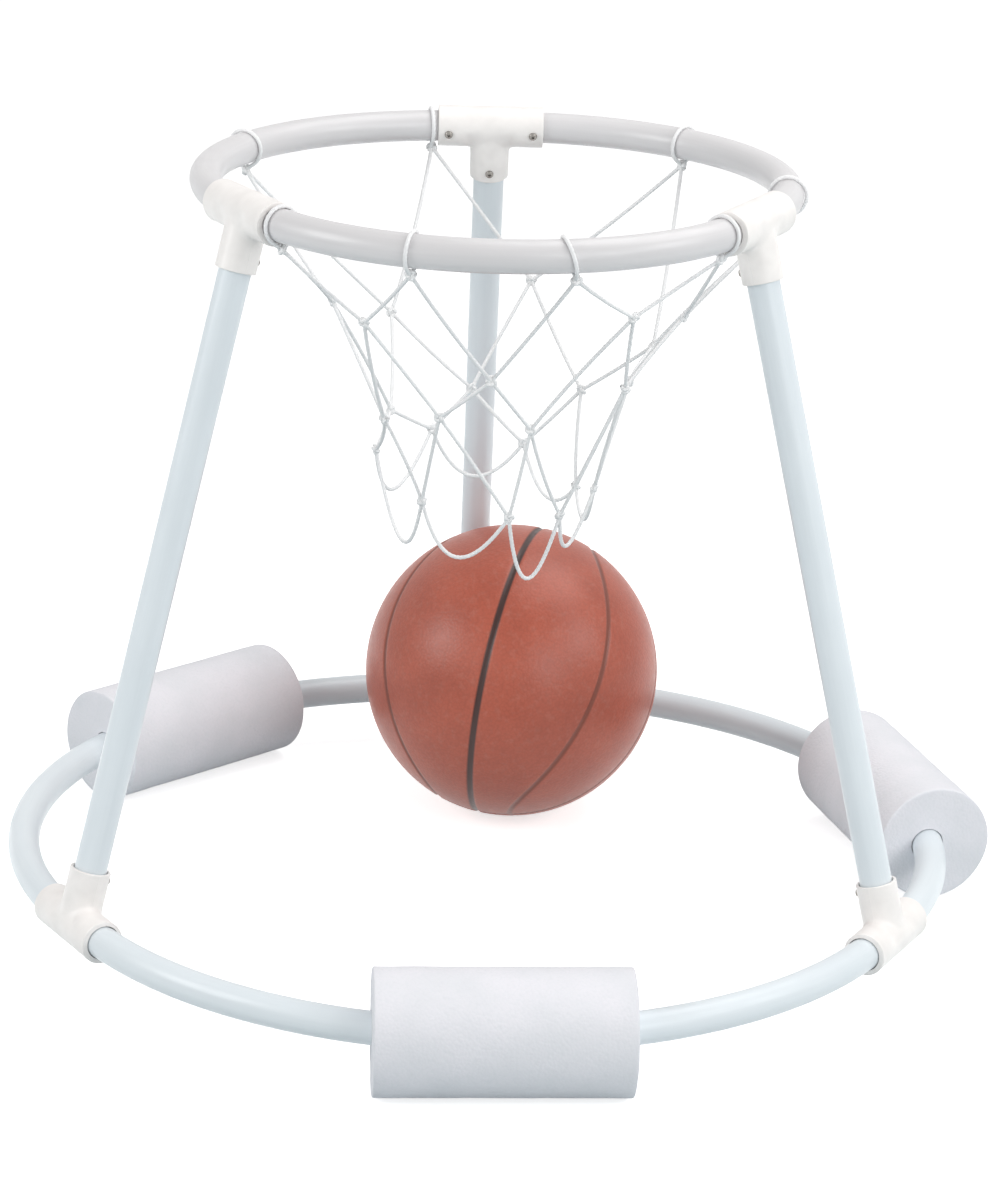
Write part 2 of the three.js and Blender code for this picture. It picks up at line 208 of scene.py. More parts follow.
def extruded_pipe(name, colour, shade):
    """White uPVC water pipe. It comes out of a die, so faint lines run along it, and it has a soft
    satin gloss with a few dull handling marks."""
    line_width, line_depth = 1.6 * MM, 0.03 * MM
    cloud_size, mark_size = 38 * MM, 7 * MM
    made, tree, shader = surface(name, colour, 0.34, IOR=1.53)
    lay = node(tree, "Attribute", output="Vector", attribute_name="lay")
    patterns = []
    for size, along, detail in ((line_width, 0.02, 3), (cloud_size, 0.4, 2), (mark_size, 0.25, 5)):
        drawn_out = node(tree, "VectorMath", (lay, (1, 1, along)), operation="MULTIPLY")
        noise = {"Vector": drawn_out, "Scale": 1 / size, "Detail": detail}
        patterns.append(node(tree, "TexNoise", noise))
    lines, cloud, marks = patterns
    lined = node(tree, "MapRange", (lines, 0.35, 0.7, 0, 0.22))
    clouded = node(tree, "MapRange", (cloud, 0.35, 0.75, 0, 0.45))
    tone = node(tree, "MixRGB", (lined, linear(colour), linear(shade)))
    tone = node(tree, "MixRGB", (clouded, tone, linear(shade)))
    dull = node(tree, "MapRange", (marks, 0.45, 0.75, 0.3, 0.48))
    relief = node(tree, "Bump", {"Height": lines, "Distance": line_depth})
    drive(tree, shader, Base_Color=tone, Roughness=dull, Normal=relief)
    return made


def moulded_fitting(name, colour, shade):
    """Ivory white injection-moulded PVC. The mould leaves a fine parting line round it and a skin
    like very fine orange peel, and its gloss is a little duller where the melt flowed together."""
    peel_size, peel_depth = 1.1 * MM, 0.03 * MM
    line_half, line_edge, line_height = 0.25 * MM, 0.6 * MM, 0.12 * MM
    flow_size = 16 * MM
    made, tree, shader = surface(name, colour, 0.36, IOR=1.53)
    place = node(tree, "Attribute", output="Vector", attribute_name="mould")
    across = node(tree, "SeparateXYZ", (place,), output="X")
    aside = node(tree, "Math", (across,), operation="ABSOLUTE")
    parting = node(tree, "MapRange", (aside, line_half, line_edge, 1, 0))
    peel = node(tree, "TexNoise", {"Vector": place, "Scale": 1 / peel_size, "Detail": 2})
    flow = node(tree, "TexNoise", {"Vector": place, "Scale": 1 / flow_size, "Detail": 3})
    flowed = node(tree, "MapRange", (flow, 0.38, 0.72, 0, 0.8))
    tone = node(tree, "MixRGB", (flowed, linear(colour), linear(shade)))
    dull = node(tree, "MapRange", (flow, 0.3, 0.7, 0.3, 0.46))
    skin = node(tree, "Bump", {"Height": peel, "Distance": peel_depth})
    ridge = {"Height": parting, "Distance": line_height, "Normal": skin}
    drive(tree, shader, Base_Color=tone, Roughness=dull, Normal=node(tree, "Bump", ridge))
    return made


def closed_cell_foam(name, colour, shade):
    """Expanded polyethylene float foam, cut from a log. Its closed cells are about 1.5 mm across,
    drawn at 2.4 mm so that they show, and they make it matt and faintly pitted."""
    cell_size, cell_height = 2.4 * MM, -0.22 * MM
    dent_size, dent_depth = 11 * MM, 0.3 * MM
    cloud_size = 45 * MM
    made, tree, shader = surface(name, colour, 0.78, IOR=1.45, Sheen_Weight=0.12)
    place = node(tree, "TexCoord", output="Object")
    cells = node(tree, "TexVoronoi", {"Vector": place, "Scale": 1 / cell_size})
    dents = node(tree, "TexNoise", {"Vector": place, "Scale": 1 / dent_size, "Detail": 3})
    cloud = node(tree, "TexNoise", {"Vector": place, "Scale": 1 / cloud_size, "Detail": 2})
    clouded = node(tree, "MapRange", (cloud, 0.35, 0.7, 0, 0.6))
    # Painted shade: the grooves between the cells, where the bump sinks, are darkened.
    pitted = node(tree, "MapRange", (cells, 0.45, 0.9, 0, 0.35))
    tone = node(tree, "MixRGB", (clouded, linear(colour), linear(shade)))
    tone = node(tree, "MixRGB", (pitted, tone, linear(shade)))
    pits = node(tree, "Bump", {"Height": cells, "Distance": cell_height})
    dented = {"Height": dents, "Distance": dent_depth, "Normal": pits}
    drive(tree, shader, Base_Color=tone, Normal=node(tree, "Bump", dented))
    return made


def plated_steel(name, colour, shade):
    """Zinc-plated steel screw, dulled by pool water: grey, clouded metal."""
    cloud_size = 1.2 * MM
    made, tree, shader = surface(name, colour, 0.34, Metallic=1.0)
    place = node(tree, "TexCoord", output="Object")
    cloud = node(tree, "TexNoise", {"Vector": place, "Scale": 1 / cloud_size, "Detail": 4})
    dull = node(tree, "MapRange", (cloud, 0.3, 0.7, 0.24, 0.5))
    tone = node(tree, "MixRGB", (cloud, linear(colour), linear(shade)))
    drive(tree, shader, Base_Color=tone, Roughness=dull)
    return made


def twisted_cord(name, colour, shade):
    """White polyester cord laid from three plies. Its fibres are too fine to show one by one, so
    they are drawn as a soft fuzz about 0.5 mm across, with a low sheen."""
    fuzz_size, fuzz_depth = 0.5 * MM, 0.12 * MM
    cloud_size = 30 * MM
    made, tree, shader = surface(name, colour, 0.82, IOR=1.5, Sheen_Weight=0.25)
    place = node(tree, "TexCoord", output="Object")
    fuzz = node(tree, "TexNoise", {"Vector": place, "Scale": 1 / fuzz_size, "Detail": 2})
    cloud = node(tree, "TexNoise", {"Vector": place, "Scale": 1 / cloud_size, "Detail": 2})
    aged = node(tree, "MapRange", (cloud, 0.35, 0.7, 0, 0.7))
    tone = node(tree, "MixRGB", (aged, linear(colour), linear(shade)))
    relief = node(tree, "Bump", {"Height": fuzz, "Distance": fuzz_depth})
    drive(tree, shader, Base_Color=tone, Normal=relief)
    return made


MAIN_SEAM_WIDTH = 5.8 * MM
THIN_SEAM_WIDTH = 4.8 * MM


def pebbled_rubber(name, colour, shade, line_colour, thin_colour):
    """Vulcanised rubber ball cover. It is terracotta brown with a soft sheen, with pebbles about
    1.6 mm apart, drawn at 2.4 mm so that they show, and smooth painted channels for seams."""
    pebble_size, pebble_height = 2.4 * MM, -0.12 * MM
    cloud_size, dust_and_sheen_size, paint_edge = 42 * MM, 6 * MM, 0.8 * MM
    # Pale pink patches: partly dust, partly painted sheen standing in for soft highlights. The dark
    # colour is painted shade for the pebbles' hollows.
    dust_and_sheen_colour, hollow_shade_colour = linear("#b58072"), linear("#7c3b2a")
    made, tree, shader = surface(name, colour, 0.38, IOR=1.5)
    place = node(tree, "TexCoord", output="Object")
    seams = node(tree, "Attribute", output="Vector", attribute_name="seams")
    painted = []
    for axis, width in (("X", MAIN_SEAM_WIDTH), ("Y", THIN_SEAM_WIDTH)):
        away = node(tree, "SeparateXYZ", (seams,), output=axis)
        inside, outside = width / 2 - paint_edge, width / 2 + paint_edge
        painted.append(node(tree, "MapRange", (away, inside, outside, 1, 0)))
    main, thin = painted
    pebbles = node(tree, "TexVoronoi", {"Vector": place, "Scale": 1 / pebble_size})
    cloud = node(tree, "TexNoise", {"Vector": place, "Scale": 1 / cloud_size, "Detail": 3})
    dust_and_sheen = node(tree, "TexNoise", {"Vector": place, "Scale": 1 / dust_and_sheen_size, "Detail": 4})
    faded = node(tree, "MapRange", (cloud, 0.35, 0.7, 0, 0.7))
    dust_and_sheen_share = node(tree, "MapRange", (dust_and_sheen, 0.5, 0.8, 0, 0.25))
    # Painted shade: the hollows between the pebbles, where the bump sinks, are darkened.
    hollow = node(tree, "MapRange", (pebbles, 0.35, 0.8, 0, 0.2))
    tone = node(tree, "MixRGB", (faded, linear(colour), linear(shade)))
    # Mixes in the patches of dust and painted sheen.
    tone = node(tree, "MixRGB", (dust_and_sheen_share, tone, dust_and_sheen_colour))
    tone = node(tree, "MixRGB", (hollow, tone, hollow_shade_colour))
    tone = node(tree, "MixRGB", (thin, tone, linear(thin_colour)))
    tone = node(tree, "MixRGB", (main, tone, linear(line_colour)))
    either = node(tree, "Math", (main, thin), operation="MAXIMUM")
    plain = node(tree, "Math", (1.0, either), operation="SUBTRACT")
    grain = node(tree, "Math", (pebbles, plain), operation="MULTIPLY")
    relief = node(tree, "Bump", {"Height": grain, "Distance": pebble_height})
    gloss = node(tree, "MapRange", (dust_and_sheen, 0.3, 0.7, 0.32, 0.42))
    drive(tree, shader, Base_Color=tone, Roughness=gloss, Normal=relief)
    return made


def soft_black_rubber(name, colour, bloom_colour):
    """Butyl rubber valve plug: soft, black and matt, with a little bloom on it."""
    bloom_size, bloom_depth = 0.9 * MM, 0.05 * MM
    made, tree, shader = surface(name, colour, 0.75, IOR=1.5)
    place = node(tree, "TexCoord", output="Object")
    bloom = node(tree, "TexNoise", {"Vector": place, "Scale": 1 / bloom_size, "Detail": 3})
    bloomed = node(tree, "MapRange", (bloom, 0.4, 0.8, 0, 0.5))
    tone = node(tree, "MixRGB", (bloomed, linear(colour), linear(bloom_colour)))
    relief = node(tree, "Bump", {"Height": bloom, "Distance": bloom_depth})
    drive(tree, shader, Base_Color=tone, Normal=relief)
    return made


rim_pipe = extruded_pipe("bent_pvc_pipe_white", "#dddbdc", "#d3d1d2")
leg_pipe = extruded_pipe("pvc_pipe_cool_white", "#e6edf1", "#dce4e9")
fitting_pvc = moulded_fitting("moulded_pvc_ivory", "#fbf7f4", "#f2eeeb")
float_foam = closed_cell_foam("polyethylene_foam_white", "#eeedf2", "#e3e5e9")
screw_steel = plated_steel("dulled_zinc_plated_steel", "#9a9792", "#7b7874")
net_cord = twisted_cord("polyester_cord_white", "#fdfdfd", "#f6f6f7")
BALL_COLOURS = ("#b35842", "#a14c38", "#33150e", "#7a3a28")
ball_rubber = pebbled_rubber("pebbled_rubber_terracotta", *BALL_COLOURS)
valve_rubber = soft_black_rubber("butyl_rubber_black", "#262322", "#4a4644")


# Modelling helpers

WELD = 0.001 * MM

# A small flat circle closes a turned solid on its axis.
POLE_RADIUS = 0.2 * MM


def deselect():
    bpy.ops.object.select_all(action="DESELECT")


def active():
    return bpy.context.view_layer.objects.active


def only(obj):
    """Makes obj the one selected, active object."""
    deselect()
    obj.select_set(True)
    bpy.context.view_layer.objects.active = obj


def edit(obj):
    only(obj)
    bpy.ops.object.mode_set(mode="EDIT")
    bpy.ops.mesh.select_all(action="DESELECT")


def leave():
    bpy.ops.object.mode_set(mode="OBJECT")


def select(obj, kind, test):
    """In edit mode: selects the vertices, edges or faces whose middle passes the test."""
    leave()
    mesh = obj.data
    for part in (mesh.vertices, mesh.edges, mesh.polygons):
        for item in part:
            item.select = False
    points = mesh.vertices
    if kind == "VERT":
        for vertex in points:
            vertex.select = test(vertex.co)
    elif kind == "EDGE":
        for edge in mesh.edges:
            ends = [points[i].co for i in edge.vertices]
            edge.select = all(test(end) for end in ends)
    else:
        for face in mesh.polygons:
            face.select = test(face.center)
    bpy.ops.object.mode_set(mode="EDIT")
    bpy.context.tool_settings.mesh_select_mode = (kind == "VERT", kind == "EDGE", kind == "FACE")


def mended(obj):
    """Merges doubled points and turns the faces outwards."""
    edit(obj)
    bpy.ops.mesh.select_all(action="SELECT")
    bpy.ops.mesh.remove_doubles(threshold=WELD)
    bpy.ops.mesh.normals_make_consistent(inside=False)
    leave()


def turned(name, profile, sides, hollow=False):
    """A round solid on the z axis, drawn ring by ring through (radius, height) pairs. A hollow one
    has a profile that comes back to where it starts."""
    (radius, height), *rest = profile
    fill = "NOTHING" if hollow else "NGON"
    deselect()
    place = (0, 0, height)
    bpy.ops.mesh.primitive_circle_add(vertices=sides, radius=radius, fill_type=fill, location=place)
    obj = active()
    obj.name = name
    bpy.ops.object.mode_set(mode="EDIT")
    bpy.ops.mesh.select_all(action="SELECT")
    for next_radius, next_height in rest:
        rise = {"value": (0, 0, next_height - height)}
        bpy.ops.mesh.extrude_region_move(TRANSFORM_OT_translate=rise)
        share = next_radius / radius
        centre = (0, 0, next_height)
        bpy.ops.transform.resize(value=(share, share, 1), center_override=centre)
        radius, height = next_radius, next_height
    leave()
    mended(obj)
    bpy.ops.object.transform_apply(location=True, rotation=True, scale=True)
    return obj


def rod(name, radius, start, length, step, sides):
    """A round solid from a height up, with its rows about a step apart, so that it can be bent."""
    count = round(length / step)
    return turned(name, [(radius, start + length * i / count) for i in range(count + 1)], sides)


def placed(obj, matrix):
    """Moves a finished mesh to its place and keeps its object at the origin."""
    only(obj)
    obj.matrix_world = matrix
    bpy.ops.object.transform_apply(location=True, rotation=True, scale=True)
    return obj


def modified(obj, kind, **settings):
    only(obj)
    made = obj.modifiers.new(kind.lower(), kind)
    for name, value in settings.items():
        setattr(made, name, value)
    bpy.ops.object.modifier_apply(modifier=made.name)
    return obj


def cut(obj, *tools):
    """Cuts each tool out of obj and throws it away."""
    for tool in tools:
        modified(obj, "BOOLEAN", operation="DIFFERENCE", object=tool, solver="EXACT")
        bpy.data.objects.remove(tool)
    return obj


def copied(obj, name):
    made = obj.copy()
    made.data = obj.data.copy()
    made.name = name
    bpy.context.scene.collection.objects.link(made)
    return made


def remember(obj, name, place):
    """Stores where each vertex lay before the piece was bent or turned, for its material."""
    stored = obj.data.attributes.new(name, "FLOAT_VECTOR", "POINT")
    for vertex, item in zip(obj.data.vertices, stored.data):
        item.vector = place(vertex.co)


def dressed(obj, name, material, slot, body, *nodes, crease=35):
    """Finishes a piece: its name, material, shading and body, and the nodes it stands for."""
    obj.name = name
    obj.data.name = name
    obj.data.materials.clear()
    obj.data.materials.append(material)
    only(obj)
    bpy.ops.object.shade_smooth_by_angle(angle=math.radians(crease))
    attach(obj, body)
    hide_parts(*nodes)
    return obj


# All the screws face the inside of the hoop.
ABOUT_FACE = Matrix.Rotation(math.pi, 4, "Z")


def tee_place(ring, azimuth, reach, turn):
    """A tee's place. In its own frame the run lies along Y, the branch up Z, the screws face +X."""
    outwards = Matrix.Translation((reach, 0, 0))
    return ring @ turn_z(azimuth) @ outwards @ Matrix.Rotation(turn, 4, "Y")


def rim_tee(azimuth):
    return tee_place(RIM_RING, azimuth, RIM_TEE_REACH, math.pi - LEG_LEAN)


def base_tee(azimuth):
    return tee_place(BASE_RING, azimuth, BASE_TEE_REACH, -LEG_LEAN) @ ABOUT_FACE


ALONG_Y = Matrix.Rotation(-math.pi / 2, 4, "X")
ALONG_X = Matrix.Rotation(math.pi / 2, 4, "Y")
OVERRUN = 1 * MM
DRILL_SIDES = 24


def drill(tee, run_place, branch_place):
    """A drill for a screw hole, through one wall of a tee and the tube in it."""
    radius = SHANK_RADIUS + SCREW_HOLE_FIT
    tool = turned("drill", [(radius, 0), (radius, TEE_RADIUS + OVERRUN)], DRILL_SIDES)
    return placed(tool, tee @ Matrix.Translation((0, run_place, branch_place)) @ ALONG_X)


# Pipes

PIPE_SIDES = 48
PIPE_STEP = 8 * MM
PIPE_CHAMFER = 0.5 * MM


def straight_pipe(name, length):
    """A hollow pipe from z = 0 up, with deburred ends."""
    count = round(length / PIPE_STEP)
    rise = length - 2 * PIPE_CHAMFER
    outside = [(TUBE_RADIUS, PIPE_CHAMFER + rise * i / count) for i in range(count + 1)]
    profile = [(TUBE_BORE, 0), (TUBE_RADIUS - PIPE_CHAMFER, 0), *outside]
    profile += [(TUBE_RADIUS - PIPE_CHAMFER, length), (TUBE_BORE, length)]
    inside = [(TUBE_BORE, height) for _, height in reversed(outside)]
    return turned(name, profile + inside + [(TUBE_BORE, 0)], PIPE_SIDES, hollow=True)


def bend(obj, arc, length):
    """Bends a straight pipe into its ring, with its middle on +X and its ends left straight."""
    half_bend = arc * SECTOR / 2
    for vertex in obj.data.vertices:
        out, up, along = vertex.co.x, vertex.co.y, vertex.co.z - length / 2
        on_bend = max(-half_bend, min(half_bend, along))
        angle, over = on_bend / arc, along - on_bend
        radius = arc + out
        x = BEND_SHIFT + radius * math.cos(angle) - over * math.sin(angle)
        y = radius * math.sin(angle) + over * math.cos(angle)
        vertex.co = (x, y, up)
    mended(obj)


def unbent(arc):
    """The way back from a bent pipe's surface to the straight pipe it was made from."""

    def place(point):
        out_x, out_y = point.x - BEND_SHIFT, point.y
        angle = max(-SECTOR / 2, min(SECTOR / 2, math.atan2(out_y, out_x)))
        out = out_x * math.cos(angle) + out_y * math.sin(angle) - arc
        over = -out_x * math.sin(angle) + out_y * math.cos(angle)
        return (out, point.z, arc * angle + over)

    return place


RUN_REST = STRAIGHT_HALF - RUN_STOP - END_GAP

# A ring's frame, bend radius, tees, screw place in the tee at a pipe's left end, and finish.
RINGS = {
    "rim": (RIM_RING, RIM_ARC, rim_tee, -RUN_SCREW, rim_pipe, "rim_pipe"),
    "base": (BASE_RING, BASE_ARC, base_tee, RUN_SCREW, leg_pipe, "leg_pipe"),
}


def ring_pipe(ring_name, side):
    """One of a ring's three pipes, with a screw hole near each end."""
    ring, arc, tee_matrix, screw_place, material, slot = RINGS[ring_name]
    azimuth = TUBE_AZIMUTHS[side]
    length = arc * SECTOR + 2 * RUN_REST
    pipe = straight_pipe("pipe", length)
    bend(pipe, arc, length)
    into_ring = (ring @ turn_z(azimuth)).inverted()
    half_sector = math.degrees(SECTOR) / 2
    ends = ((azimuth + half_sector, screw_place), (azimuth - half_sector, -screw_place))
    cut(pipe, *[placed(drill(tee_matrix(end), place, 0), into_ring) for end, place in ends])
    remember(pipe, "lay", unbent(arc))
    placed(pipe, ring @ turn_z(azimuth))
    name = f"{side}_{ring_name}_pipe"
    return dressed(pipe, name, material, slot, "frame", f"{ring_name}_tube_{side}")


def leg_pipe_piece(side):
    low = BRANCH_STOP + END_GAP
    leg = straight_pipe("leg", LEG_SPAN - 2 * low)
    placed(leg, Matrix.Translation((0, 0, low)))
    here = Matrix.Identity(4)
    cut(leg, drill(here, 0, BRANCH_SCREW), drill(here, 0, LEG_SPAN - BRANCH_SCREW))
    remember(leg, "lay", lambda point: point)
    placed(leg, base_tee(LEG_AZIMUTHS[side]))
    return dressed(leg, f"{side}_leg_pipe", leg_pipe, "leg_pipe", "frame", f"leg_{side}")


for pipe_side in TUBE_AZIMUTHS:
    for pipe_ring in RINGS:
        ring_pipe(pipe_ring, pipe_side)

for leg_side in LEG_AZIMUTHS:
    leg_pipe_piece(leg_side)


# Tees

RUN_SIDES = 24
BORE_SIDES = 96
SOCKET_SIDES = 64
FOOT_REACH = math.radians(75)
FOOT_ROWS = 6
FOOT_MARGIN = 3.2 * MM
FOOT_HALF = BRANCH_RADIUS + FOOT_MARGIN
FOOT_SLACK = 1 * MM
FOOT_TURN_SLACK = 0.01
OUTER_ROWS = [24 * MM, 30 * MM, 38 * MM, TEE_RUN_HALF]
FILLET_RISE = 4 * MM
MOUTH_ROUND = 0.8 * MM
LEAD_IN = 0.4 * MM
SOCKET_SNUG = 0.8 * MM
SOCKET_STEP = 4 * MM


def cage_radius(radius, sides):
    """The radius of a cage that a subdivision surface pulls in to the given radius."""
    return radius * 3 / (2 + math.cos(2 * math.pi / sides))


def on_foot(point):
    """Whether a point of the run lies where the branch grows out of it."""
    in_length = abs(point.y) < FOOT_HALF + FOOT_SLACK
    in_turn = abs(math.atan2(point.x, point.z)) < FOOT_REACH + FOOT_TURN_SLACK
    return point.z > 0 and in_length and in_turn


def neighbours(mesh):
    beside = {}
    for first, second in (edge.vertices for edge in mesh.edges):
        beside.setdefault(first, set()).add(second)
        beside.setdefault(second, set()).add(first)
    return beside


def foot_border(mesh):
    """The vertices round the branch's foot, in order, from the middle of its +X side."""
    border = {vertex.index for vertex in mesh.vertices if on_foot(vertex.co)}
    beside = neighbours(mesh)
    start = max(border, key=lambda i: mesh.vertices[i].co.x - abs(mesh.vertices[i].co.y))
    ordered = [start, max(beside[start] & border, key=lambda i: mesh.vertices[i].co.y)]
    while len(ordered) < len(border):
        ordered.append(next(iter((beside[ordered[-1]] & border) - set(ordered[-2:]))))
    return ordered


def tee_skin():
    """The outside of a tee, open at its mouths: a run, and a branch that grows out of its top."""
    run = cage_radius(TEE_RADIUS, RUN_SIDES)
    row = FOOT_HALF / FOOT_ROWS
    heights = [-outer for outer in reversed(OUTER_ROWS)]
    heights += [row * i for i in range(-FOOT_ROWS, FOOT_ROWS + 1)] + OUTER_ROWS
    skin = turned("tee", [(run, height) for height in heights], RUN_SIDES, hollow=True)
    placed(skin, ALONG_Y)

    # The faces in the branch's way go, and the edge of the hole is drawn to an oval.
    edit(skin)
    select(skin, "FACE", lambda at: on_foot(at) and abs(at.y) < FOOT_HALF)
    bpy.ops.mesh.delete(type="FACE")
    leave()
    mesh = skin.data
    border = foot_border(mesh)
    turns = [2 * math.pi * i / len(border) for i in range(len(border))]
    foot_half_width = run * math.sin(FOOT_REACH)
    for index, turn in zip(border, turns):
        x, y = foot_half_width * math.cos(turn), FOOT_HALF * math.sin(turn)
        mesh.vertices[index].co = (x, y, math.sqrt(run**2 - x**2))

    # The edge is drawn up ring by ring, first round the fillet and then straight up the branch.
    # A ring has three shares: out from the branch to the foot's edge, up the fillet, up the branch.
    rings = [(0.3, 0.25, 0), (0, 1, 0), (0, 1, 0.25), (0, 1, 0.55), (0, 1, 0.85), (0, 1, 1)]
    feet = [mesh.vertices[i].co.copy() for i in border]
    known = set(range(len(mesh.vertices)))
    ends = set(border)
    edit(skin)
    leave()
    for edge in mesh.edges:
        edge.select = set(edge.vertices) <= ends
    bpy.ops.object.mode_set(mode="EDIT")
    bpy.context.tool_settings.mesh_select_mode = (False, True, False)
    for _ in rings:
        bpy.ops.mesh.extrude_region_move(TRANSFORM_OT_translate={"value": (0, 0, MM)})
    leave()
    beside = neighbours(mesh)
    branch = cage_radius(BRANCH_RADIUS, len(border))
    current = border
    for out_share, fillet_share, up_share in rings:
        current = [next(iter(beside[index] - known)) for index in current]
        known.update(current)
        for index, turn, foot in zip(current, turns, feet):
            radius = branch + (foot.xy.length - branch) * out_share
            low = foot.z + FILLET_RISE * fillet_share
            height = low + (TEE_BRANCH_REACH - low) * up_share
            mesh.vertices[index].co = (radius * math.cos(turn), radius * math.sin(turn), height)
    mended(skin)
    return modified(skin, "SUBSURF", levels=2, render_levels=2)


def close_mouths(tee):
    """Closes a tee's three mouths with flat faces and rounds their outer edges."""
    near = 0.01 * MM
    mouths = (
        lambda at: at.y > TEE_RUN_HALF - near,
        lambda at: at.y < near - TEE_RUN_HALF,
        lambda at: at.z > TEE_BRANCH_REACH - near,
    )
    for at_mouth in mouths:
        edit(tee)
        select(tee, "EDGE", at_mouth)
        bpy.ops.mesh.edge_face_add()
        select(tee, "EDGE", at_mouth)
        bpy.ops.mesh.bevel(offset=MOUTH_ROUND, segments=3, affect="EDGES")
        leave()


def sockets(tee_matrix, ring, arc):
    """The shapes of the two bent pipes in a ring's back tee, with a little room round them."""
    length = arc * SECTOR + 2 * (STRAIGHT_HALF - RUN_STOP)
    reach = TEE_RUN_HALF + OVERRUN
    into_tee = tee_matrix(LEG_AZIMUTHS["back"]).inverted()
    made = []
    for side, start in (("left", 0), ("right", length - reach)):
        tool = rod("socket", TUBE_RADIUS + SOCKET_SNUG, start, reach, SOCKET_STEP, SOCKET_SIDES)
        bend(tool, arc, length)
        made.append(placed(tool, into_tee @ ring @ turn_z(TUBE_AZIMUTHS[side])))
    return made


def tee_blank():
    """A tee with all but its run's two sockets, which follow their ring's bend."""
    tee = tee_skin()
    close_mouths(tee)
    flare = LEAD_IN + OVERRUN
    passage = RUN_STOP + OVERRUN
    run_profile = [(LEDGE_RADIUS, -passage), (LEDGE_RADIUS, passage)]
    run_tool = placed(turned("run", run_profile, BORE_SIDES), ALONG_Y)
    branch_profile = [
        (LEDGE_RADIUS, 0),
        (LEDGE_RADIUS, BRANCH_STOP),
        (BRANCH_SOCKET_RADIUS, BRANCH_STOP),
        (BRANCH_SOCKET_RADIUS, TEE_BRANCH_REACH - LEAD_IN),
        (BRANCH_SOCKET_RADIUS + flare, TEE_BRANCH_REACH + OVERRUN),
    ]
    branch_tool = turned("branch", branch_profile, BORE_SIDES)
    cut(tee, run_tool, branch_tool)
    here = Matrix.Identity(4)
    cut(tee, drill(here, RUN_SCREW, 0), drill(here, -RUN_SCREW, 0), drill(here, 0, BRANCH_SCREW))
    return tee


# Screws

RECESS_LENGTH = 4.6 * MM
RECESS_WIDTH = 1.3 * MM
RECESS_DEPTH = 1.5 * MM
RECESS_TAPER = (0.3, 0.55, 1)
RECESS_TURNS = (20, 110)
SCREW_SIDES = 32
POINT_LENGTH = 2 * MM
THREAD_PITCH = 1.1 * MM
THREAD_DEPTH = 0.45 * MM
THREAD_START = 2.2 * MM
THREAD_FREE = 3.2 * MM
THREAD_CREST = 0.4 * THREAD_PITCH
THREAD_END = 0.75 * THREAD_PITCH

# The pan head's outline, in millimetres: in from its edge, and up from its seat.
HEAD_OUTLINE = [(0.2, 0), (0, 0.2), (0, 1.0), (0.2, 1.5), (0.7, 2.0), (1.5, 2.3)]
HEAD_FLAT = 0.9 * MM

# The heads sit this much lower than the solids' heads, all but on their fitting.
HEAD_SUNK = 0.25 * MM


def recess_bar(turn):
    """One bar of a cross recess, tapered towards its bottom and turned by some degrees."""
    deselect()
    centre = (0, 0, HEAD_HEIGHT)
    size = (RECESS_LENGTH, RECESS_WIDTH, 2 * RECESS_DEPTH)
    bpy.ops.mesh.primitive_cube_add(size=1, location=centre, scale=size)
    bpy.ops.object.transform_apply(location=True, rotation=True, scale=True)
    bar = active()
    edit(bar)
    select(bar, "VERT", lambda at: at.z < HEAD_HEIGHT)
    bpy.ops.transform.resize(value=RECESS_TAPER, center_override=centre)
    leave()
    return placed(bar, turn_z(turn))


def screw_piece():
    """A pan-head tapping screw with its head's seat at x = 0 and its shank along -X."""
    root = SHANK_RADIUS - THREAD_DEPTH
    profile = [(POLE_RADIUS, -SCREW_LENGTH), (root, POINT_LENGTH - SCREW_LENGTH)]
    turns = int((SCREW_LENGTH - THREAD_FREE) / THREAD_PITCH)
    for i in range(turns):
        low = THREAD_START - SCREW_LENGTH + THREAD_PITCH * i
        profile += [(root, low), (SHANK_RADIUS, low + THREAD_CREST), (root, low + THREAD_END)]
    profile.append((root, 0))
    profile += [(HEAD_RADIUS - inset * MM, height * MM) for inset, height in HEAD_OUTLINE]
    profile += [(HEAD_FLAT, HEAD_HEIGHT), (POLE_RADIUS, HEAD_HEIGHT)]
    screw = turned("screw", profile, SCREW_SIDES)
    cut(screw, *[recess_bar(turn) for turn in RECESS_TURNS])
    return placed(screw, ALONG_X)


blank = tee_blank()
screw_master = screw_piece()
SEATED = SEAT_GAP - HEAD_SUNK
SCREW_PLACES = {
    "a": (TEE_RADIUS + SEATED, -RUN_SCREW, 0),
    "b": (TEE_RADIUS + SEATED, RUN_SCREW, 0),
    "c": (BRANCH_RADIUS + SEATED, 0, BRANCH_SCREW),
}

screw_turns = random.Random(5)

for ring_name, (ring, arc, tee_matrix, *_) in RINGS.items():
    tee_master = cut(copied(blank, "tee"), *sockets(tee_matrix, ring, arc))
    for tee_side, tee_azimuth in LEG_AZIMUTHS.items():
        name = f"{ring_name}_tee_{tee_side}"
        tee = copied(tee_master, name)
        remember(tee, "mould", lambda point: point)
        placed(tee, tee_matrix(tee_azimuth))
        dressed(tee, f"{tee_side}_{ring_name}_fitting", fitting_pvc, "fitting", "frame", name)
        for letter, place in SCREW_PLACES.items():
            screw = copied(screw_master, "screw")
            spin = Matrix.Rotation(screw_turns.uniform(0, math.pi), 4, "X")
            placed(screw, tee_matrix(tee_azimuth) @ Matrix.Translation(place) @ spin)
            screw_name = f"{tee_side}_{ring_name}_fitting_screw_{letter}"
            screw_node = f"{name}_screw_{letter}"
            dressed(screw, screw_name, screw_steel, "screw_steel", "frame", screw_node)
    bpy.data.objects.remove(tee_master)
bpy.data.objects.remove(blank)
bpy.data.objects.remove(screw_master)


# Floats

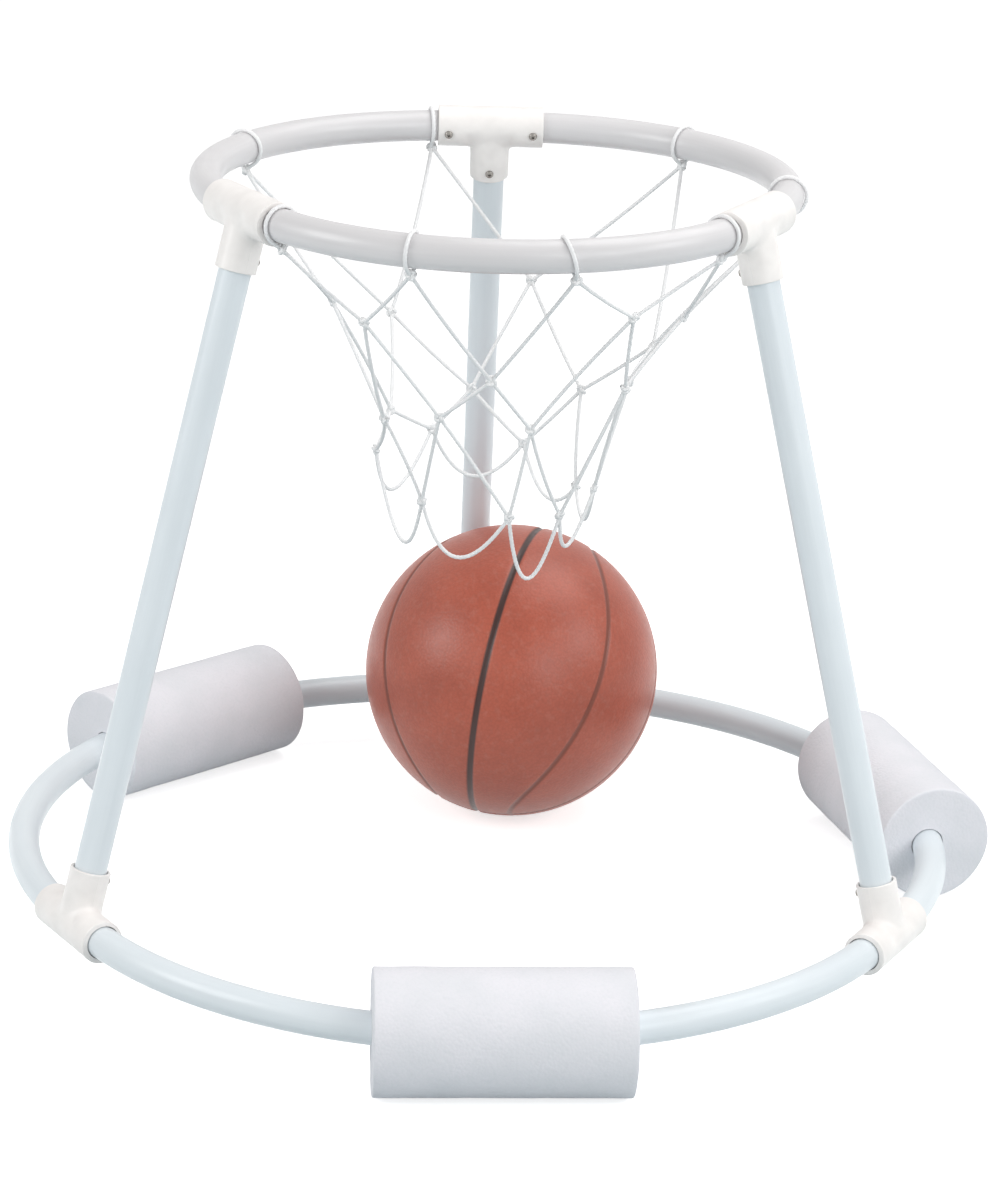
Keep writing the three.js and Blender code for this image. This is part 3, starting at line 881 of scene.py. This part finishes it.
FOAM_SIDES = 96
FOAM_STEP = 3 * MM
FOAM_POLE = 0.3 * MM
FOAM_CORNER = 1.6 * MM
CORNER_STEPS = 3
FOAM_UNEVEN = 0.7 * MM
CLOUD_SIZE = 30 * MM
FLOAT_BORE_SIDES = 64
FLOAT_BORE_OVERRUN = 20 * MM


def float_piece():
    """A foam float round its pipe's bend, with the bend's middle at the origin."""
    radius = FLOAT_RADIUS - FOAM_UNEVEN / 2
    half = FLOAT_LENGTH / 2 - FOAM_UNEVEN / 2
    flat = radius - FOAM_CORNER
    cap_count = round(flat / FOAM_STEP)
    end = [(max(FOAM_POLE, flat * i / cap_count), half) for i in range(cap_count + 1)]
    corner = []
    for i in range(1, CORNER_STEPS + 1):
        turn = math.radians(90) * i / CORNER_STEPS
        out, down = FOAM_CORNER * math.sin(turn), FOAM_CORNER * (1 - math.cos(turn))
        corner.append((flat + out, half - down))
    side_half = half - FOAM_CORNER
    side_count = round(2 * side_half / FOAM_STEP)
    side = [(radius, side_half * (1 - 2 * i / side_count)) for i in range(1, side_count)]
    top = end + corner
    foam = turned("float", top + side + [(r, -z) for r, z in reversed(top)], FOAM_SIDES)
    clouds = bpy.data.textures.new("foam_uneven", "CLOUDS")
    clouds.noise_scale = CLOUD_SIZE
    clouds.noise_depth = 2
    bulges = {"texture": clouds, "texture_coords": "LOCAL", "mid_level": 0.5}
    modified(foam, "DISPLACE", strength=FOAM_UNEVEN, **bulges)
    placed(foam, Matrix.Translation((FLOAT_REACH, 0, 0)) @ ALONG_Y)
    to_bend = Matrix.Translation((-BEND_SHIFT, 0, 0))
    bore_length = FLOAT_LENGTH + FLOAT_BORE_OVERRUN
    bore_radius = TUBE_RADIUS + FLOAT_BORE_FIT
    bore = rod("bore", bore_radius, 0, bore_length, PIPE_STEP, FLOAT_BORE_SIDES)
    bend(bore, BASE_ARC, bore_length)
    return cut(foam, placed(bore, to_bend))


float_master = float_piece()
for float_side in FLOAT_TURNS:
    foam = placed(copied(float_master, "foam"), BASE_RING @ float_bend(float_side))
    body = f"{float_side}_float"
    dressed(foam, f"{float_side}_foam_float", float_foam, "foam", body, f"float_{float_side}")
bpy.data.objects.remove(float_master)


# Ball

BALL_PLACE = middle("ball_shell")
BALL_SIDES = 160
BALL_ROWS = 110
BALL_INNER_ROWS = 40
BALL_POLE_TURN = 0.0015
SEAM_SIDE = Vector((0.9562, -0.2685, -0.1167)).normalized()
SEAM_ALONG = Vector((0.2131, 0.3650, 0.9063)).normalized()
SEAM_TIP = math.radians(5)
SEAM_POLE = Matrix.Rotation(-SEAM_TIP, 3, SEAM_SIDE) @ SEAM_SIDE.cross(SEAM_ALONG)
SIDE_SEAM_SPREAD = 0.904
LEFT_SEAM = (0.403, 0.126)
RIGHT_SEAM = (0.291, 0.058)
MAIN_SEAM_DEPTH = 1.1 * MM
THIN_SEAM_DEPTH = 0.8 * MM
SEAM_BAND = 6.5 * MM
SEAM_LEAST_SLOPE = 0.2

# A channel's flat bottom, and each of its slopes, as shares of half its width.
CHANNEL_BOTTOM = 0.5
CHANNEL_SLOPE = 0.75


def seam_distances(point):
    """How far a point of the ball lies from its main seam and from the nearest thin one."""
    toward = (point - BALL_PLACE).normalized()
    side, along, pole = toward.dot(SEAM_SIDE), toward.dot(SEAM_ALONG), toward.dot(SEAM_POLE)
    main = abs(math.asin(max(-1, min(1, side)))) * BALL_RADIUS
    thin = abs(math.asin(max(-1, min(1, pole)))) * BALL_RADIUS
    for sign, (near, lean) in ((-1, LEFT_SEAM), (1, RIGHT_SEAM)):
        off = sign * side - near - SIDE_SEAM_SPREAD * pole**2 - lean * along
        slope = Vector((sign, -lean, -2 * SIDE_SEAM_SPREAD * pole))
        direction = Vector((side, along, pole))
        slope -= direction * slope.dot(direction)
        thin = min(thin, abs(off) / max(slope.length, SEAM_LEAST_SLOPE) * BALL_RADIUS)
    return main, thin


def channel(distance, width, depth):
    """How deep a seam's channel is at a distance from its middle."""
    share = (distance - CHANNEL_BOTTOM * width / 2) / (CHANNEL_SLOPE * width / 2)
    share = max(0, min(1, share))
    return depth * (1 - share * share * (3 - 2 * share))


def on_cover(point):
    """Whether a point of the ball lies on its outer face."""
    return (point - BALL_PLACE).length > BALL_RADIUS - BALL_WALL / 2


def meridian(radius, first, last, rows):
    """The profile of a sphere from one turn to another, measured from its top."""
    turns = [first + (last - first) * i / rows for i in range(rows + 1)]
    return [(radius * math.sin(turn), radius * math.cos(turn)) for turn in turns]


def ball_piece():
    """The ball, turned round its valve's axis, with its seams sunk into its cover."""
    inner = BALL_RADIUS - BALL_WALL
    pole = math.pi - BALL_POLE_TURN
    profile = meridian(BALL_RADIUS, pole, math.asin(VALVE_RADIUS / BALL_RADIUS), BALL_ROWS)
    profile += meridian(inner, math.asin(VALVE_RADIUS / inner), pole, BALL_INNER_ROWS)
    ball = turned("ball", profile, BALL_SIDES)
    placed(ball, valve_frame())
    edit(ball)
    select(ball, "FACE", lambda at: on_cover(at) and min(seam_distances(at)) < SEAM_BAND)
    bpy.ops.mesh.subdivide(number_cuts=2, smoothness=0)
    leave()
    for vertex in ball.data.vertices:
        if on_cover(vertex.co):
            main, thin = seam_distances(vertex.co)
            sunk = max(
                channel(main, MAIN_SEAM_WIDTH, MAIN_SEAM_DEPTH),
                channel(thin, THIN_SEAM_WIDTH, THIN_SEAM_DEPTH),
            )
            toward = (vertex.co - BALL_PLACE).normalized()
            vertex.co = BALL_PLACE + toward * (BALL_RADIUS - sunk)
    remember(ball, "seams", lambda point: (*seam_distances(point), 0))
    return dressed(ball, "ball_cover", ball_rubber, "ball_rubber", "ball", "ball_shell")


def valve_frame():
    """The ball's frame with its valve along +Z."""
    turned_ball = Matrix.Rotation(VALVE_TILT, 4, "X") @ Matrix.Rotation(VALVE_TURN, 4, "Z")
    return Matrix.Translation(BALL_PLACE) @ turned_ball @ ALONG_Y


VALVE_SIDES = 40
VALVE_EDGE = 0.4 * MM

# The dimple and the needle's hole in the valve, in millimetres: radius, and depth from its top.
NEEDLE_HOLE = [(2.2, 0), (1.9, 0.3), (1.3, 0.3), (1.0, 0.6), (0.8, 4), (0.2, 4)]


def valve_piece():
    """The plug that fills the ball's hole."""
    top = math.sqrt(BALL_RADIUS**2 - VALVE_RADIUS**2)
    low = top - VALVE_LENGTH
    body = VALVE_RADIUS - SEAT_GAP
    profile = [(POLE_RADIUS, low), (body - VALVE_EDGE, low), (body, low + VALVE_EDGE)]
    profile += [(body, top - VALVE_EDGE), (body - VALVE_EDGE, top)]
    profile += [(radius * MM, top - depth * MM) for radius, depth in NEEDLE_HOLE]
    valve = placed(turned("valve", profile, VALVE_SIDES), valve_frame())
    return dressed(valve, "ball_valve_plug", valve_rubber, "valve_rubber", "ball", "ball_valve")


ball_piece()
valve_piece()


# Net

CORD_LAY = 11 * MM
CORD_STEP = 1.05 * MM
CORD_SIDES = 12
PLIES = 3
PLY_GROOVE = 0.13
LOOP_HUG = 0.25 * MM
LOOP_ENDS_APART = 1.4 * MM
LOOP_STEPS = 60
STRAND_STEPS = 40
KNOT_TURN = 1.2 * MM
KNOT_HEIGHT = 1.25 * KNOT_TURN
KNOT_TIP = 0.5
KNOT_STEPS = 60

# How far a cord hangs in, to the side and down at its middle, as shares of its length.
STRAND_IN = 0.03
STRAND_ASIDE = 0.015
STRAND_SAG = 0.015

# Each loop hangs on a rim pipe, at a share of the way from its middle to its end, and leans along
# the pipe by some millimetres from its knot to its top.
RIM_LOOPS = [
    ("front", 0.37, 1.5), ("front", 1, -1.0), ("left", 0, 2.0), ("left", 1, 1.0),
    ("right", -0.36, -2.0), ("right", 0.72, 2.5), ("front", -1, 0.5), ("front", -0.28, -11.0),
]

# Knots, as degrees round the net from the front towards the left, and shares of its drop. Where the
# net hangs askew, a third number draws a knot in from the waist's line.
UPPER_KNOTS = [
    (34, 0.242), (84, 0.31, 0.75), (146, 0.45), (193, 0.382),
    (250, 0.465), (294, 0.285, 0.91), (328, 0.207), (362, 0.382),
]
MIDDLE_KNOTS = [
    (20, 0.516), (49, 0.564), (122, 0.66), (172, 0.637),
    (228, 0.611), (272, 0.516, 0.87), (317, 0.44), (346.5, 0.548),
]
LOWER_KNOTS = [
    (38, 0.79), (90, 0.723), (150, 0.739), (200, 0.78),
    (240, 0.857), (290, 0.787), (321, 0.825), (351, 0.815),
]
HANGING_TIPS = [
    (20, 0.94), (64, 0.936), (114, 0.866), (172, 0.873),
    (219, 0.908), (264, 0.915), (306, 0.93), (336, 1),
]

# The net's half width at shares of its drop, as a share of the rim's.
WAIST = [
    (0, 1), (0.12, 0.93), (0.31, 0.777), (0.42, 0.686), (0.5, 0.594), (0.57, 0.507),
    (0.64, 0.43), (0.72, 0.415), (0.82, 0.396), (0.92, 0.354), (1, 0.34),
]


def waist_share(drop):
    for (high, wide), (low, narrow) in zip(WAIST, WAIST[1:]):
        if drop <= low:
            return wide + (narrow - wide) * (drop - high) / (low - high)
    return WAIST[-1][1]


def net_point(degrees, drop, drawn_in=1):
    radius = RIM_TEE_REACH * waist_share(drop) * drawn_in
    turn = math.radians(degrees)
    return RIM_RING @ Vector((-radius * math.sin(turn), -radius * math.cos(turn), -drop * NET_DROP))


def loop_frame(side, share):
    """A rim loop's frame: its centre on the pipe's axis, +X away from the ring's middle."""
    mouth = TEE_RUN_HALF - STRAIGHT_HALF + LOOP_MOUTH_GAP + KNOT_RADIUS
    reach = SECTOR / 2 - math.asin(mouth / RIM_ARC)
    turn = -share * reach
    centre = (BEND_SHIFT + RIM_ARC * math.cos(turn), RIM_ARC * math.sin(turn), 0)
    to_pipe = Matrix.Translation(centre) @ Matrix.Rotation(turn, 4, "Z")
    return RIM_RING @ turn_z(TUBE_AZIMUTHS[side]) @ to_pipe


HEAD_DROP = TUBE_RADIUS + LOOP_FIT + KNOT_RADIUS


def rim_loop(side, share, lean):
    """A loop from its knot round the pipe, close against it, and back to the knot."""
    hug = TUBE_RADIUS + CORD_RADIUS + LOOP_HUG
    leaves = math.acos(hug / HEAD_DROP)
    around = 2 * math.pi - 2 * leaves
    turns = [leaves + around * i / LOOP_STEPS for i in range(LOOP_STEPS + 1)]
    flat = [(hug * math.sin(turn), -hug * math.cos(turn)) for turn in turns]
    flat = [(0, -HEAD_DROP), *flat, (0, -HEAD_DROP)]
    points = []
    for i, (out, up) in enumerate(flat):
        apart = LOOP_ENDS_APART * (i / (len(flat) - 1) - 0.5)
        rise = (up + HEAD_DROP) / (hug + HEAD_DROP)
        points.append(Vector((out, lean * MM * rise + apart, up)))
    frame_of_loop = loop_frame(side, share)
    return [frame_of_loop @ point for point in points]


def out_of_net(place):
    """The level direction from the net's axis to a place."""
    away = place - RING_MIDDLE
    return Vector((away.x, away.y, 0)).normalized()


def strand(first, last, slack):
    """A cord between two knots, with a little slack in it."""
    length = (last - first).length
    half_way = (first + last) / 2
    outward = out_of_net(half_way)
    sideways = outward.cross(Vector((0, 0, 1)))
    out, aside = slack.uniform(-STRAND_IN, 0), slack.uniform(-STRAND_ASIDE, STRAND_ASIDE)
    bow = (outward * out + sideways * aside - Vector((0, 0, STRAND_SAG))) * length
    return curved(first, half_way + 2 * bow, last)


def curved(first, control, last):
    points = []
    for i in range(STRAND_STEPS + 1):
        share = i / STRAND_STEPS
        start, end = first * (1 - share) ** 2, last * share**2
        points.append(start + control * 2 * share * (1 - share) + end)
    return points


def evenly(points, step, closed=False):
    """The same line with its points about a step apart."""
    line = points + points[:1] if closed else points
    lengths = [0]
    for before, after in zip(line, line[1:]):
        lengths.append(lengths[-1] + (after - before).length)
    count = max(2, round(lengths[-1] / step))
    spread, segment = [], 0
    for i in range(count if closed else count + 1):
        target = lengths[-1] * i / count
        while segment < len(line) - 2 and lengths[segment + 1] < target:
            segment += 1
        span = lengths[segment + 1] - lengths[segment]
        share = (target - lengths[segment]) / span
        spread.append(line[segment].lerp(line[segment + 1], share))
    return spread, lengths[-1]


def knot(centre, looks):
    """A tight knot, drawn as cord wound into a trefoil that faces out of the net."""
    facing_out = out_of_net(centre).to_track_quat("Z", "Y").to_matrix()
    spin = Matrix.Rotation(looks.uniform(0, 2 * math.pi), 3, "Z")
    tip = Matrix.Rotation(looks.uniform(-KNOT_TIP, KNOT_TIP), 3, "X")
    points = []
    for i in range(KNOT_STEPS):
        turn = 2 * math.pi * i / KNOT_STEPS
        reach = (2 + math.cos(3 * turn)) * KNOT_TURN
        height = KNOT_HEIGHT * math.sin(3 * turn)
        point = Vector((reach * math.cos(2 * turn), reach * math.sin(2 * turn), height))
        points.append(centre + facing_out @ tip @ spin @ point)
    return points


def add_cord(data, points, closed=False):
    """Adds a laid cord to a curve: its tilt turns once in each lay. A closed cord's plies meet."""
    spread, length = evenly(points, CORD_STEP, closed)
    turns = length / CORD_LAY
    if closed:
        turns = round(PLIES * turns) / PLIES
    spline = data.splines.new("POLY")
    spline.points.add(len(spread) - 1)
    spline.use_cyclic_u = closed
    count = len(spread) if closed else len(spread) - 1
    for i, (point, place) in enumerate(zip(spline.points, spread)):
        point.co = (*place, 1)
        point.tilt = 2 * math.pi * turns * i / count


def ply_section():
    """A cord's section: three plies round one another."""
    data = bpy.data.curves.new("section", "CURVE")
    spline = data.splines.new("POLY")
    spline.points.add(CORD_SIDES - 1)
    spline.use_cyclic_u = True
    for i, point in enumerate(spline.points):
        turn = 2 * math.pi * i / CORD_SIDES
        radius = CORD_RADIUS * (1 - PLY_GROOVE * (0.5 - 0.5 * math.cos(PLIES * turn)))
        point.co = (radius * math.cos(turn), radius * math.sin(turn), 0, 1)
    section = bpy.data.objects.new("section", data)
    bpy.context.scene.collection.objects.link(section)
    return section


def net_piece():
    """The net in one piece: its rim loops, the cords between its knots, its tips and its knots."""
    slack = random.Random(11)
    section = ply_section()
    data = bpy.data.curves.new("net", "CURVE")
    data.dimensions = "3D"
    data.bevel_mode = "OBJECT"
    data.bevel_object = section
    data.use_fill_caps = True
    net = bpy.data.objects.new("net", data)
    bpy.context.scene.collection.objects.link(net)

    heads = [loop_frame(side, share) @ Vector((0, 0, -HEAD_DROP)) for side, share, _ in RIM_LOOPS]
    rows = (UPPER_KNOTS, MIDDLE_KNOTS, LOWER_KNOTS, HANGING_TIPS)
    upper, middles, lower, tips = [[net_point(*place) for place in row] for row in rows]
    for loop in RIM_LOOPS:
        add_cord(data, rim_loop(*loop))
    count = len(RIM_LOOPS)
    for i in range(count):
        following, before = (i + 1) % count, (i - 1) % count
        ends = [(heads[i], upper[i]), (heads[following], upper[i])]
        ends += [(upper[before], middles[i]), (upper[i], middles[i])]
        ends += [(middles[i], lower[i]), (middles[following], lower[i])]
        for first, last in ends:
            add_cord(data, strand(first, last, slack))
        first, last = lower[before], lower[i]
        add_cord(data, curved(first, 2 * tips[i] - (first + last) / 2, last))
    for centre in heads + upper + middles + lower:
        add_cord(data, knot(centre, slack), closed=True)
    only(net)
    bpy.ops.object.convert(target="MESH")
    net = active()
    bpy.data.objects.remove(section)
    mended(net)
    return dressed(net, "knotted_net", net_cord, "net_cord", "frame", "net", crease=60)


net_piece()


# Floor, world and lights

FLOOR_WHITE = "#f6f6f6"
FLOOR_GLOW = 0.66
FLOOR_BOUNCE = "#bcc6c9"
FLOOR_SIZE = 60
FLOOR_DROP = 0.2 * MM
BACKDROP = "#ffffff"
SKY = "#ffffff"
SKY_STRENGTH = 0.40
LAMP_AIM = Vector((0, 0, 0.3))


def seen_rays(tree):
    """1 for rays that show the surface, straight or in a reflection or through glass."""
    seen = 0.0
    for ray in ("Is Camera Ray", "Is Glossy Ray", "Is Transmission Ray"):
        this_ray = node(tree, "LightPath", output=ray)
        seen = node(tree, "Math", (seen, this_ray), operation="MAXIMUM")
    return seen


def pale_floor():
    """Matt pale floor. Where it is seen it is white, and it still takes the object's soft shadow;
    the light it throws back on the object is a pale grey's."""
    made = bpy.data.materials.new("matt_pale_floor")
    made.use_nodes = True
    tree = made.node_tree
    tree.nodes.clear()
    white = node(tree, "BsdfDiffuse", {"Color": linear(FLOOR_WHITE)})
    glow = node(tree, "Emission", {"Color": linear(BACKDROP), "Strength": FLOOR_GLOW})
    bright = node(tree, "AddShader", (white, glow))
    plain = node(tree, "BsdfDiffuse", {"Color": linear(FLOOR_BOUNCE)})
    both = node(tree, "MixShader", (seen_rays(tree), plain, bright))
    node(tree, "OutputMaterial", {"Surface": both})
    return made


deselect()
bpy.ops.mesh.primitive_plane_add(size=FLOOR_SIZE, location=(0, 0, -FLOOR_DROP))
floor = active()
bpy.ops.object.transform_apply(location=True, rotation=True, scale=True)
floor.name = "floor"
floor.data.materials.append(pale_floor())

world = bpy.data.worlds.new("studio")
world.use_nodes = True
bpy.context.scene.world = world
air = world.node_tree
air.nodes.clear()
ambient = node(air, "Background", {"Color": linear(SKY), "Strength": SKY_STRENGTH})
backdrop = node(air, "Background", {"Color": linear(BACKDROP), "Strength": 1.0})
sky = node(air, "MixShader", (seen_rays(air), ambient, backdrop))
node(air, "OutputWorld", {"Surface": sky})


def softbox(name, place, size, level):
    """A round soft lamp that faces the hoop. Level is how bright a white sheet facing it gets."""
    deselect()
    bpy.ops.object.light_add(type="AREA", location=place)
    lamp = active()
    lamp.name = name
    toward = LAMP_AIM - Vector(place)
    lamp.rotation_euler = toward.to_track_quat("-Z", "Y").to_euler()
    lamp.data.shape = "DISK"
    lamp.data.size = size
    lamp.data.energy = level * math.pi**2 * toward.length_squared


softbox("overhead", (0.8, 0.5, 2.3), 1.8, 0.40)
softbox("left_side", (-2.0, -0.6, 1.3), 1.2, 0.31)
softbox("right_side", (2.3, -0.8, 1.7), 1.2, 0.18)
softbox("front_right", (1.6, -2.4, 1.4), 1.8, 0.26)
softbox("front_left", (-1.6, -2.4, 1.4), 1.8, 0.07)

bpy.context.scene.view_settings.view_transform = "Standard"
